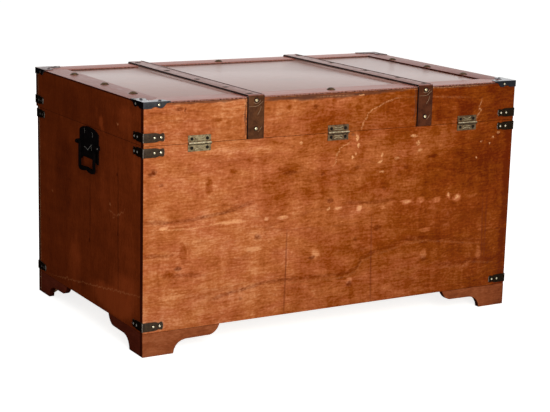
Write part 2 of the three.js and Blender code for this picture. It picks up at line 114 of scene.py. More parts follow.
def add(tree, kind, settings=None, sockets=()):
    """Adds one node: settings are its own fields. Sockets take values or other nodes, each
    under its name or number, or one after another from the first."""
    made = tree.nodes.new("ShaderNode" + kind)
    for field, value in (settings or {}).items():
        if field == "stops":
            ramp = made.color_ramp.elements
            while len(ramp) < len(value):
                ramp.new(0.5)
            for element, (position, colour) in zip(ramp, value):
                element.position, element.color = position, colour
        else:
            setattr(made, field, value)
    if not isinstance(sockets, dict):
        sockets = dict(enumerate(sockets))
    for socket, value in sockets.items():
        if isinstance(value, bpy.types.Node):
            value = value.outputs[0]
        if isinstance(value, bpy.types.NodeSocket):
            tree.links.new(value, made.inputs[socket])
        else:
            made.inputs[socket].default_value = value
    return made


# What a node does with its sockets, and the sockets of one that mixes colours. One that maps
# a range takes the value, the range that it comes from and the range that it goes to
TIMES, PLUS = {"operation": "MULTIPLY"}, {"operation": "ADD"}
TIMES_PLUS, LARGER = {"operation": "MULTIPLY_ADD"}, {"operation": "MAXIMUM"}
DOT = {"operation": "DOT_PRODUCT"}
COLOURS = {"data_type": "RGBA", "clamp_factor": True}
MIX_FACTOR, MIX_A, MIX_B, MIX_OUT = 0, 6, 7, 2


def emptied(owner):
    """The nodes of a material or a world, cleared."""
    owner.use_nodes = True
    owner.node_tree.nodes.clear()
    return owner.node_tree


def shaded(tree, gloss, **driven):
    """Closes a material: its shader takes the even values of the gloss and, in their place
    or beside them, what other nodes drive."""
    shader = add(tree, "BsdfPrincipled", sockets={
        key.replace("_", " "): value for key, value in {**gloss, **driven}.items()})
    add(tree, "OutputMaterial", sockets=(shader,))


# Floor and light
FLOOR_REACH = 9.0
FLOOR_PALE = "D2D0CC"
FLOOR_GLOW = 0.80
WORLD_LEVEL = 0.40
# Each lamp's place, the point that it looks at, its width and its power
LAMPS = {
    "window_on_back": ((0.60, 2.70, 1.20), (0.20, 0.28, 0.20), 1.3, 56.0),
    "soft_over_front": ((-0.6, -2.0, 2.2), (0.0, -0.1, 0.3), 2.0, 34.0),
}
OUT_OF_GLOSS = ("soft_over_front",)


def seen_share(tree):
    """1 for what the camera, gloss and glass see, and 0 for rays that only light the room."""
    path = add(tree, "LightPath")
    seen = add(tree, "Math", LARGER, (
        path.outputs["Is Camera Ray"], path.outputs["Is Glossy Ray"]))
    return add(tree, "Math", LARGER, (seen, path.outputs["Is Transmission Ray"]))


def light_the_room():
    """Soft lamps at a plain level, and white behind the chest for the camera and in its gloss."""
    for name, (place, aim, width, power) in LAMPS.items():
        data = bpy.data.lights.new(name, "AREA")
        data.shape = "SQUARE"
        data.size = width
        data.energy = power
        lamp = placed(name, data)
        lamp.location = place
        aimed = Vector(aim) - Vector(place)
        lamp.rotation_euler = aimed.to_track_quat("-Z", "Y").to_euler()
        lamp.visible_camera = False
        lamp.visible_glossy = name not in OUT_OF_GLOSS

    world = bpy.data.worlds.new("white_room")
    bpy.context.scene.world = world
    tree = emptied(world)
    white = tone("FFFFFF")
    level = add(tree, "Background", sockets=(white, WORLD_LEVEL))
    plain = add(tree, "Background", sockets=(white, 1.0))
    mixed = add(tree, "MixShader", sockets=(seen_share(tree), level, plain))
    add(tree, "OutputWorld", sockets=(mixed,))


def lay_floor():
    """A plain matt floor. To the camera it glows up to the white behind the chest, so that
    only the soft shadow shows."""
    shape = bmesh.new()
    bmesh.ops.create_grid(shape, x_segments=1, y_segments=1, size=FLOOR_REACH)
    mesh = mesh_from("studio_floor", shape)
    material = bpy.data.materials.new("matt_pale_floor")
    tree = emptied(material)
    matt = add(tree, "BsdfDiffuse", sockets=(tone(FLOOR_PALE),))
    share = add(tree, "Math", TIMES, (seen_share(tree), FLOOR_GLOW))
    glow = add(tree, "Emission", sockets=(tone("FFFFFF"), share))
    both = add(tree, "AddShader", sockets=(matt, glow))
    add(tree, "OutputMaterial", sockets=(both,))
    mesh.materials.append(material)
    placed("studio_floor", mesh)


light_the_room()
lay_floor()
bpy.context.scene.view_settings.view_transform = "Standard"


# Wood
def patches(tree, flat, spots, halo=None):
    """The sum of soft oval patches, each given by its middle along and across, half sizes,
    turn in degrees where it has one, and strength. The place comes with 1 as its third
    number, so that one product moves, turns and scales. With a halo, the same patches are
    summed once more, that many times larger."""
    sizes = (1.0, halo) if halo else (1.0,)
    totals = [None] * len(sizes)
    for along, across, half_length, half_height, *turn, strength in spots:
        angle = math.radians(turn[0]) if turn else 0.0
        ahead, aside = math.cos(angle), math.sin(angle)
        length, height = half_length * MM, half_height * MM
        middle = (along * ahead + across * aside) * MM
        level = (across * ahead - along * aside) * MM
        reach, rise = (add(tree, "VectorMath", DOT, (flat, row)).outputs["Value"]
                       for row in ((ahead / length, aside / length, -middle / length),
                                   (-aside / height, ahead / height, -level / height)))
        square = add(tree, "Math", TIMES, (reach, reach))
        away = add(tree, "Math", TIMES_PLUS, (rise, rise, square))
        for number, size in enumerate(sizes):
            patch = add(tree, "MapRange", {
                "interpolation_type": "SMOOTHSTEP", "clamp": False}, (
                away, 0.0, size * size, strength, 0.0))
            totals[number] = patch if totals[number] is None else add(
                tree, "Math", PLUS, (totals[number], patch))
    return totals if halo else totals[0]


STROKE_OVERLAP = 1.8


def strokes(lines, half_width, strength):
    """Long ovals that overlap along broken lines, as patches() takes them."""
    spots = []
    for line in lines:
        for (along, across), (next_along, next_across) in zip(line, line[1:]):
            run, rise = next_along - along, next_across - across
            spots.append(((along + next_along) / 2, (across + next_across) / 2,
                          math.hypot(run, rise) / 2 * STROKE_OVERLAP, half_width,
                          math.degrees(math.atan2(rise, run)), strength))
    return spots


def lowered(lines, drop):
    """The same broken lines, that far lower on the board."""
    return [[(along, across - drop) for along, across in line] for line in lines]


# The layers of a stain: length along the grain and width in mm, detail, roughness and share.
# They are clouds, mottles, dashes, a ripple across the grain, and flecks. The real pores are
# finer than a fleck, which is drawn about 4 mm wide so that it shows
LAYERS = ((260, 120, 2.0, 0.5, 0.34), (52, 24, 3.0, 0.6, 0.38), (26, 3.4, 3.0, 0.6, 0.40),
          (20, 120, 2.0, 0.5, 0.28), (6, 4.4, 2.0, 0.6, 0.38))
DASH, FLECK = 2, 4
# Length, width, detail and roughness of the slow height whose contours are growth lines, and
# of redder places, of where the lines show and of pores, with the range that each spreads
HEIGHT, BLUSHED = (620, 120, 3.0, 0.45), (80, 38, 2.0, 0.6, 0.42, 0.62)
SHOWING, PORE = (150, 60, 2.0, 0.5, 0.42, 0.70), (12, 2.2, 1.0, 0.5, 0.60, 0.76)
# Scales, detail and roughness of what bends the grain, tears the edges of marks and breaks
# scuffs into specks, and how far the first two move the grain and the edges, in metres
WANDER, TEAR = ((3.6, 8.0, 8.0), 3.0, 0.5), ((60, 90, 60), 2.0, 0.6)
SPECKS = ((230, 300, 50), 3.0, 0.7)
WANDERED, TORN = (0.02, 0.045, 0.0), (0.016, 0.006, 0.0)
# Shares of growth lines, pores, drawn lines, seams, scratches and their shadows
LINE_INK, PORE_INK, DRAWN, SEAMED, SCRATCHED, SHADED = 0.28, 0.24, 0.34, 0.5, 0.34, 0.07
GROWTH_RINGS, KNOT_RINGS, KNOT_HALO = 15.0, 1.9, 2.6
SEAM_HALF, LINE_HALF, SCRATCH_HALF, SHADOW_HALF, SHADOW_DROP = 3.0, 6.0, 2.4, 3.4, 8.0
PORE_SINKS, FIGURE_BUMP, FIGURE_DEPTH = -0.8, 0.2, 0.0004
# Where the tones of a stain start and how far they reach, and the ranges that flecks, specks
# and streaks come from and go to
TONES_FROM, TONES_REACH = 0.18, 0.64
FLECKED, SPECKED = (0.35, 0.65, 1.3, 0.7), (0.38, 0.60, 0.0, 1.5)
STREAKED, SMOOTHER, ROUGHER = (0.3, 0.7), 0.86, 1.16


def stained_wood(name, along, across, tones, gloss, marks, stain_and_light_fade=0.0, offset=0.0,
                 figure=1.0, blush=None, bow=0.0):
    """Veneer with a brushed stain under lacquer. Short dashes and pores run along the grain,
    the stain takes unevenly in clouds, knots are dark with rings round them, and rubbed
    places are pale. Marks are in millimetres along and across the board."""
    material = bpy.data.materials.new(name)
    tree = emptied(material)
    split = add(tree, "SeparateXYZ", sockets=(add(tree, "TexCoord").outputs["Object"],))
    depth = ({"X", "Y", "Z"} - {along, across}).pop()
    length, width, deep = (split.outputs[axis] for axis in (along, across, depth))
    board = add(tree, "CombineXYZ", sockets=(length, width, 1.0))
    solid = add(tree, "CombineXYZ", sockets=(length, width, deep))
    moved = add(tree, "VectorMath", PLUS, (solid, (offset, offset, offset)))

    def pattern(vector, scale, detail, roughness):
        """Noise with a scale of its own in each direction."""
        stretched = add(tree, "Mapping", sockets={"Vector": vector, "Scale": scale})
        return add(tree, "TexNoise", sockets={
            "Vector": stretched, "Scale": 1.0, "Detail": detail, "Roughness": roughness})

    # The grain wanders about 8 mm over a hand's length, and the edges of marks are torn
    bend = pattern(moved, *WANDER).outputs["Color"]
    shifted = add(tree, "VectorMath", TIMES_PLUS, (bend, WANDERED, moved))
    ragged = pattern(moved, *TEAR).outputs["Color"]
    centred = add(tree, "VectorMath", {"operation": "SUBTRACT"}, (ragged, (0.5, 0.5, 0.5)))
    torn = add(tree, "VectorMath", TIMES_PLUS, (centred, TORN, board))

    def grain(length_mm, width_mm, detail, roughness):
        """Patches of about that length along the grain and that width."""
        return pattern(shifted, (1 / (length_mm * MM), 1 / (width_mm * MM), 8.0),
                       detail, roughness)

    def spread(*size_and_range):
        """The same, with a range of its own spread over 0 to 1."""
        *size, low, high = size_and_range
        return add(tree, "MapRange", sockets=(grain(*size), low, high))

    # How deep the stain shows
    layers = [(grain(*size), share * figure) for *size, share in LAYERS]
    streak, fleck = layers[DASH][0], layers[FLECK][0]
    middle = 0.5 - sum(gain for _, gain in layers) / 2
    # The fade and bow make the board lighter toward one end and darker at both: partly an uneven
    # stain, partly painted light and shade from the lamp's fall-off
    shade = add(tree, "Math", TIMES_PLUS, (length, stain_and_light_fade, middle))
    if bow:
        squared = add(tree, "Math", TIMES, (length, length))
        shade = add(tree, "Math", TIMES_PLUS, (squared, -bow, shade))
    for noise, gain in layers:
        shade = add(tree, "Math", TIMES_PLUS, (noise, gain, shade))
    if marks.get("shades"):
        shade = add(tree, "Math", PLUS, (shade, patches(tree, torn, marks["shades"])))

    def stain(codes):
        """The tones of a stain, from where it is deep to where it is thin."""
        stops = [(TONES_FROM + TONES_REACH * index / (len(codes) - 1), tone(code))
                 for index, code in enumerate(codes)]
        return add(tree, "ValToRGB", {"stops": stops}, (shade,)).outputs[0]

    colour = stain(tones)
    laid = [(spread(*BLUSHED), stain(blush))] if blush else []

    # Growth lines: contours of a slow height, pulled into rings by the knots
    rings = add(tree, "Math", TIMES, (grain(*HEIGHT), GROWTH_RINGS))
    knots = None
    if marks.get("knots"):
        knots, halo = patches(tree, torn, marks["knots"], halo=KNOT_HALO)
        rings = add(tree, "Math", TIMES_PLUS, (halo, KNOT_RINGS, rings))
    turn = add(tree, "Math", {"operation": "FRACT"}, (rings,))
    line = add(tree, "ValToRGB", {"stops": [
        (0.0, (0, 0, 0, 1)), (0.6, (0.1, 0.1, 0.1, 1)),
        (0.9, (1, 1, 1, 1)), (1.0, (0, 0, 0, 1))]}, (turn,))
    pores = spread(*PORE)
    inked = add(tree, "Math", TIMES, (line, spread(*SHOWING)))
    inked = add(tree, "Math", TIMES, (inked, LINE_INK * figure))
    inked = add(tree, "Math", TIMES_PLUS, (pores, PORE_INK * figure, inked))
    spotted = add(tree, "MapRange", {"clamp": False}, (fleck, *FLECKED))
    if marks.get("lines"):
        drawn = patches(tree, torn, strokes(marks["lines"], LINE_HALF, DRAWN))
        inked = add(tree, "Math", TIMES_PLUS, (drawn, spotted, inked))
    if knots is not None:
        inked = add(tree, "Math", TIMES_PLUS, (knots, spotted, inked))

    # Tones laid over the stain: redder places, dark growth lines, joints, grime with some painted
    # shadows, and then rubbed places and scratches, which are broken into specks of 2 to 4 mm
    laid.append((inked, tone(tones[0])))
    if marks.get("seams"):
        seamed = patches(tree, board, strokes(marks["seams"], SEAM_HALF, SEAMED))
        laid.append((seamed, tone(marks["seam_tone"])))
    # Grime, and painted shadows in the same darker tone
    if marks.get("grime"):
        laid.append((patches(tree, torn, marks["grime"]), tone(marks["grime_tone"])))
    if marks.get("scuffs"):
        shadows = lowered(marks.get("lines", []), SHADOW_DROP)
        rubbed = patches(tree, torn, marks["scuffs"]
                         + strokes(marks.get("pale_lines", []), SCRATCH_HALF, SCRATCHED)
                         + strokes(shadows, SHADOW_HALF, SHADED))
        broken = add(tree, "MapRange", sockets=(pattern(board, *SPECKS), *SPECKED))
        share = add(tree, "Math", TIMES, (rubbed, broken))
        laid.append((share, tone(marks["pale_tone"])))
    for share, over in laid:
        colour = add(tree, "Mix", COLOURS, {
            MIX_FACTOR: share, MIX_A: colour, MIX_B: over}).outputs[MIX_OUT]

    # Lacquer sinks a little into streaks and pores
    base = gloss["Roughness"]
    uneven = add(tree, "MapRange", sockets=(
        streak, *STREAKED, base * SMOOTHER, base * ROUGHER))
    sunk = add(tree, "Math", TIMES_PLUS, (pores, PORE_SINKS, streak))
    relief = add(tree, "Bump", sockets={
        "Strength": FIGURE_BUMP * figure, "Distance": FIGURE_DEPTH, "Height": sunk})
    shaded(tree, gloss, Base_Color=colour, Roughness=uneven, Normal=relief)
    return material


# How each finish of wood shines: matt and satin stain, a polished panel whose broad gloss
# turns the room's white into a haze, rails that are rubbed or worn, and bare boards
MATT = dict(Roughness=0.6, Specular_IOR_Level=0.0)
SATIN = dict(Roughness=0.5, Specular_IOR_Level=0.02)
POLISHED = dict(Roughness=0.42, Coat_Weight=1.0, Coat_Roughness=0.28)
RUBBED = dict(Roughness=0.36, Specular_IOR_Level=0.4, Coat_Weight=0.12, Coat_Roughness=0.26)
WORN = dict(Roughness=0.36, Specular_IOR_Level=0.34)
BARE = dict(Roughness=0.75, Specular_IOR_Level=0.2)

BACK_TONES = ("602002", "843C08", "AC6032", "D08C5C")
BACK_BLUSH = ("621F02", "853A0A", "AD5E36", "D08A60")
END_STAIN_AND_SHADE_TONES = ("481808", "64270D", "803616")
TOP_TONES = ("6E3720", "7E4229", "8E5034")
BACK_RAIL_TONES = ("803C2A", "924834", "A4543E")
END_RAIL_TONES = ("642816", "763220", "8A4230")
FOOT_TONES = ("5E2812", "864626", "A86642")
FOOT_END_TONES = ("3E160C", "522014", "663020")
EDGE_TONES = ("2A0C06", "3A140A", "4C1E10")
BARE_TONES = ("A88458", "C2A074", "D6B88E")

# What the photographed back shows, along the board from its middle and up from the floor
BACK_MARKS = {
    "knots": [
        (431, 370, 10, 9, 0.8), (412, 345, 6, 5, 0.45), (121, 347, 24, 7, 0.5),
        (44, 338, 6, 5, 35, 0.5), (194, 220, 11, 8, 0.5), (64, 163, 9, 6, 0.7),
        (374, 173, 11, 6, 0.7), (-43, 192, 6, 5, 0.5), (-98, 211, 12, 8, 0.65),
        (-222, 130, 11, 9, 0.5), (-32, 95, 10, 8, 0.6), (-424, 176, 7, 6, 0.5),
        (23, 280, 10, 7, 0.6), (-166, 338, 10, 5, 0.5), (-152, 321, 8, 4, 0.45),
        (-113, 296, 8, 7, 30, 0.5), (-42, 346, 11, 5, 0.4), (-298, 335, 12, 6, 0.4),
        (374, 492, 11, 6, 0.5), (360, 489, 3, 9, 0.6), (63, 479, 11, 7, 0.5),
        (233, 95, 6, 5, 0.4)],
    "shades": [
        (307, 337, 11, 24, -0.2), (254, 360, 11, 9, -0.2), (364, 203, 10, 29, -0.2),
        (395, 162, 15, 12, -0.16), (122, 357, 36, 12, -0.1), (186, 327, 46, 16, -0.08),
        # Painted light and shade: the broad patches at (340, 110) and (-380, 110) lighten the low
        # back, and those at (40, 455) and (-330, 345) darken its top, against the lamp's fall-off
        (340, 110, 260, 190, 0.08), (40, 455, 80, 40, -0.12), (-330, 345, 120, 50, -0.07),
        (-380, 110, 150, 120, 0.1), (-236, 356, 19, 5, -0.18), (19, 501, 11, 21, -0.14),
        (-43, 466, 11, 29, -0.1), (-252, 450, 19, 26, -0.1), (-321, 446, 22, 26, -0.1),
        (-18, 116, 25, 15, -0.12), (126, 482, 8, 8, -0.16), (290, 466, 16, 7, -0.14),
        (407, 258, 13, 5, 0.2), (205, 196, 28, 6, 0.2), (258, 257, 39, 6, 0.2),
        (175, 256, 9, 5, 0.25), (135, 255, 17, 6, 0.25), (2, 262, 15, 6, 0.3),
        (-52, 257, 10, 9, 0.3), (-109, 255, 10, 5, 0.16), (-170, 261, 18, 7, 0.28),
        (-209, 262, 13, 8, 0.24), (-252, 258, 13, 8, 0.24), (-283, 264, 8, 9, 0.24),
        (-306, 258, 16, 10, 0.3), (-221, 194, 21, 7, 0.22), (-222, 142, 11, 14, 0.2),
        (-32, 104, 10, 11, 0.2), (-372, 128, 10, 21, 0.18), (55, 168, 15, 13, 0.16),
        (239, 402, 102, 10, 0.12), (388, 116, 44, 6, 0.12), (-437, 250, 12, 190, -0.1)],
    "scuffs": [
        (406, 256, 8, 4, 1), (-39, 409, 6, 10, 1), (-44, 392, 4, 7, 0.9), (-30, 368, 4, 6, 0.9),
        (-38, 375, 4, 3, 0.6), (-103, 368, 4, 6, 0.8), (-99, 353, 9, 3, -25, 0.9),
        (-104, 332, 6, 3, 0.7), (-141, 358, 8, 4, 0.4), (-184, 403, 13, 4, 0.8),
        (-194, 387, 7, 7, 0.7), (-200, 371, 8, 5, 0.5), (-396, 385, 4, 3, 0.9),
        (-389, 373, 4, 3, 0.9), (-366, 379, 4, 3, 0.6), (-353, 344, 4, 3, 0.7),
        (-411, 396, 6, 4, 0.7), (2, 263, 9, 4, 0.7), (-53, 258, 6, 6, 0.7), (26, 263, 4, 5, 0.5),
        (-170, 261, 12, 3, 0.6), (-284, 267, 4, 6, 0.8), (-306, 260, 7, 6, 0.9),
        (178, 256, 6, 4, 0.5), (135, 256, 11, 4, 0.5), (98, 407, 5, 4, 0.8),
        (-46, 498, 9, 2, 1.0), (20, 499, 60, 2, 0.25), (-250, 503, 150, 1.2, 0.4)],
    "lines": [
        [(444, 275), (394, 269), (351, 269), (317, 273), (271, 278), (235, 287), (207, 293)],
        [(-20, 272), (-70, 268), (-128, 269)], [(-172, 176), (-222, 178), (-362, 158)],
        [(-266, 112), (-332, 110), (-351, 116), (-403, 110)],
        [(297, 102), (259, 110), (223, 115), (183, 122), (122, 123)], [(450, 206), (391, 202)],
        [(395, 162), (324, 155)],
        [(122, 123), (2, 119), (-28, 121), (-49, 130), (-62, 148), (-88, 158), (-153, 171)],
        [(-167, 495), (-250, 491), (-318, 487)]],
    "pale_lines": [
        [(403, 255), (343, 251), (286, 257), (226, 256)],
        [(-21, 400), (0, 391), (11, 374), (15, 353)],
        [(-50, 427), (-55, 440), (-63, 457), (-80, 467), (-109, 480), (-141, 486)],
        [(-361, 470), (-353, 452), (-359, 447), (-348, 429)]],
    "seams": [
        [(125, 219), (126, 135), (128, 52)], [(-83, 227), (-85, 140), (-88, 54)],
        [(-378, 235), (-382, 113)], [(-389, 235), (-389, 113)]],
    "seam_tone": "6A2C14",
    "grime": [
        (150, 501, 50, 6, 0.9), (80, 500, 60, 9, 1.0), (0, 500, 60, 8, 0.9),
        (-70, 501, 50, 6, 0.8), (320, 503, 110, 3.5, 0.8), (-130, 503, 50, 4, 0.7),
        # The narrow upright strips at 228 and -184 are painted shadows beside the bands' drops
        (-300, 503, 120, 3.5, 0.7), (228, 470, 2.5, 60, 0.8), (-184, 470, 2.5, 60, 0.8),
        (-28, 416, 8, 5, 0.5)],
    "grime_tone": "5A3424",
    "pale_tone": "DC9C68",
}

# The same for the photographed end: up from the floor and toward the back
END_MARKS = {
    "knots": [
        (346, 157, 6, 4, 0.8), (226, 160, 6, 4, 0.7), (182, 18, 7, 5, 0.7)],
    "shades": [
        (458, 58, 15, 8, 0.2), (442, 78, 17, 13, 0.4), (427, 86, 10, 10, 0.25),
        # Painted light and shade: the patches at (450, -80) and (300, -120) darken the end toward
        # the front, and those low down at (120, -60), (80, 130) and (110, 190) are a painted
        # sheen
        (462, 200, 40, 44, 0.2), (450, -80, 60, 60, -0.12), (300, -120, 130, 60, -0.14),
        (120, -60, 70, 40, 8, 0.16), (80, 130, 36, 120, 4, 0.5), (110, 190, 50, 80, 0.3),
        (300, 90, 60, 26, 0.12), (200, 220, 80, 30, 0.1), (370, 240, 50, 20, 0.12)],
    "scuffs": [
        (450, 159, 2.5, 6, 1.0), (249, -185, 4, 6, 0.5), (280, 123, 4, 7, 0.5),
        (257, 140, 3, 6, 0.5)],
    "pale_lines": [
        [(266, 123), (262, 157), (279, 188)], [(120, 250), (92, 60), (60, -160)]],
    "seams": [
        [(369, 161), (296, 162), (226, 162), (116, 163)], [(302, 22), (236, 22), (178, 21)]],
    "seam_tone": "2A0C04",
    "pale_tone": "A8643C",
}


def chance_marks(seed, low, high, knots, shades, scuffs, seams=()):
    """Marks for a face that the photo doesn't show, in the range of its board."""
    dice = random.Random(seed)

    def spots(count, widths, heights, strengths):
        return [(dice.uniform(low[0], high[0]), dice.uniform(low[1], high[1]),
                 dice.uniform(*widths), dice.uniform(*heights), dice.uniform(-20, 20),
                 dice.uniform(*strengths)) for _ in range(count)]

    return {
        "knots": spots(knots, (7, 14), (5, 9), (0.4, 0.7)),
        "shades": spots(shades, (12, 60), (8, 26), (-0.24, 0.24)),
        "scuffs": spots(scuffs, (3, 9), (2, 5), (0.4, 0.9)),
        "seams": seams, "seam_tone": "4A1C0E", "pale_tone": "D89C6C",
    }


def make_woods():
    """Every face has its own wood, so that no two carry the same figure."""
    left_marks = dict(chance_marks(3, (60, -250), (500, 270), 4, 10, 3,
                                   [[(385, -10), (220, -8), (70, -6)]]),
                      pale_tone="A8643C", seam_tone="2A0C04")
    front_marks = chance_marks(5, (-440, 60), (440, 495), 14, 26, 10,
                               [[(-150, 410), (-148, 60)]])
    panel_marks = chance_marks(8, (-390, -215), (390, 215), 4, 10, 0)
    chips = {"scuffs": [(0, 506, 600, 8, 0.55)], "pale_tone": "C08A78"}
    rows = {
        # Birch veneer with a brushed stain: orange brown, streaky and blotched, hardly glossy
        # On the back, its fade and bow are partly painted light, lighter toward the right end
        "back": ("brush_stained_birch_back", "XZ", BACK_TONES, SATIN, BACK_MARKS,
                 dict(stain_and_light_fade=0.40, blush=BACK_BLUSH, bow=0.5)),
        "front": ("brush_stained_birch_front", "XZ", BACK_TONES, SATIN, front_marks,
                  dict(offset=3.7, blush=BACK_BLUSH)),
        # The same veneer under a darker coat of stain: deep red brown, its grain half hidden. The
        # darkness is partly that stain and partly painted shade
        "right": ("dark_stained_shaded_birch_right", "ZY", END_STAIN_AND_SHADE_TONES, MATT, END_MARKS,
                  dict(offset=1.9, figure=0.8)),
        "left": ("dark_stained_shaded_birch_left", "ZY", END_STAIN_AND_SHADE_TONES, MATT, left_marks,
                 dict(offset=5.3, figure=0.8)),
        # Lacquered birch: brown from above, and pale at a low angle, where it mirrors the room
        "top": ("polished_birch_panel", "XY", TOP_TONES, POLISHED, panel_marks,
                dict(offset=2.6, figure=0.5)),
        # Solid rails, redder than the panel and with less lacquer left on them
        "rail_long": ("polished_rail_long", "XY", BACK_RAIL_TONES, RUBBED, {},
                      dict(offset=4.1, figure=0.8)),
        "rail_end": ("polished_rail_end", "YX", END_RAIL_TONES, WORN, {},
                     dict(offset=6.2, figure=0.8)),
        # Feet sawn from solid wood: plainer and lighter than the boards above them
        # The long feet's fade toward the right end is partly painted light, and the end feet's
        # darker tones are partly painted shade
        "foot_long": ("stained_foot_long", "XZ", FOOT_TONES, SATIN, {},
                      dict(offset=7.4, stain_and_light_fade=0.12)),
        "foot_end": ("stained_foot_end", "YZ", FOOT_END_TONES, MATT, {},
                     dict(offset=8.8, figure=0.8)),
        # Cut edges soak up stain and go nearly black, and the lid's top edge is chipped pale. On
        # the rails' sides the near black is painted shade
        "shaded_rail_edge": ("chipped_shaded_rail_edge", "XZ", EDGE_TONES, MATT, chips, dict(offset=9.9)),
        "edge": ("stained_board_edge", "XY", EDGE_TONES, MATT, {}, dict(offset=9.3)),
        # Bare poplar inside: pale, dull and even
        "inside": ("bare_poplar_inside", "XZ", BARE_TONES, BARE, {},
                   dict(offset=10.1, figure=0.7)),
    }
    return {key: stained_wood(name, *axes, tones, gloss, marks, **rest)
            for key, (name, axes, tones, gloss, marks, rest) in rows.items()}


WOODS = make_woods()


# Size in mm, detail and roughness of pits, their share, and how deep the surface is. Then the
# ranges of the mottle that turn into tarnish and into gloss, and how dull and bright this gets
PITS, PIT_SHARE, PIT_BUMP, PIT_DEPTH = (1.6, 2.0, 0.6), 0.35, 0.25, 0.0002
TARNISHED, GLOSSED, DULLER, BRIGHTER = (0.52, 0.86), (0.5, 0.9), 1.35, 0.8


def worked_metal(name, code, dark, gloss, spot_mm=9.0, wear=0.5):
    """Metal or a painted plate: a main tone, darker tarnish or dirt in spots of a few
    millimetres, and fine pits and rubbed specks that break the gloss."""
    material = bpy.data.materials.new(name)
    tree = emptied(material)
    place = add(tree, "TexCoord").outputs["Object"]
    spots, pits = (add(tree, "TexNoise", sockets={
        "Vector": place, "Scale": 1 / (size * MM), "Detail": detail, "Roughness": rough})
        for size, detail, rough in ((spot_mm, 4.0, 0.65), PITS))
    mottle = add(tree, "Math", TIMES_PLUS, (pits, PIT_SHARE, spots))
    share = add(tree, "MapRange", sockets=(mottle, *TARNISHED, 0.0, wear * 2))
    colour = add(tree, "Mix", COLOURS, {
        MIX_FACTOR: share, MIX_A: tone(dark), MIX_B: tone(code)}).outputs[MIX_OUT]
    polish = gloss["Roughness"]
    uneven = add(tree, "MapRange", sockets=(
        mottle, *GLOSSED, min(1.0, polish * DULLER), polish * BRIGHTER))
    relief = add(tree, "Bump", sockets={
        "Strength": PIT_BUMP, "Distance": PIT_DEPTH, "Height": mottle})
    shaded(tree, gloss, Base_Color=colour, Roughness=uneven, Normal=relief)
    return material


# How each metal, paint and strap shines. Near black steel has no gloss of its own, since the
# white room would turn it grey at a low angle
LACQUER = dict(Roughness=0.2, Coat_Weight=0.46, Coat_Roughness=0.1)
DUSTY = dict(Roughness=0.34, Coat_Weight=0.2, Coat_Roughness=0.2)
DULL_LACQUER = dict(Roughness=0.4, Specular_IOR_Level=0.08)
BRONZED = dict(Metallic=0.2, Roughness=0.36, Specular_IOR_Level=0.14)
SMOKED = dict(Roughness=0.5, Specular_IOR_Level=0.0)
PLATE = dict(Metallic=0.75, Roughness=0.42)
BRIGHT = dict(Metallic=0.9, Roughness=0.16)
DULL = dict(Metallic=0.5, Roughness=0.42, Specular_IOR_Level=0.3)
BLACKED = dict(Roughness=0.5, Specular_IOR_Level=0.05)
CLOTH = dict(Roughness=0.46, Specular_IOR_Level=0.06)
CLOTH_SHINE = dict(Roughness=0.3, Specular_IOR_Level=0.42)

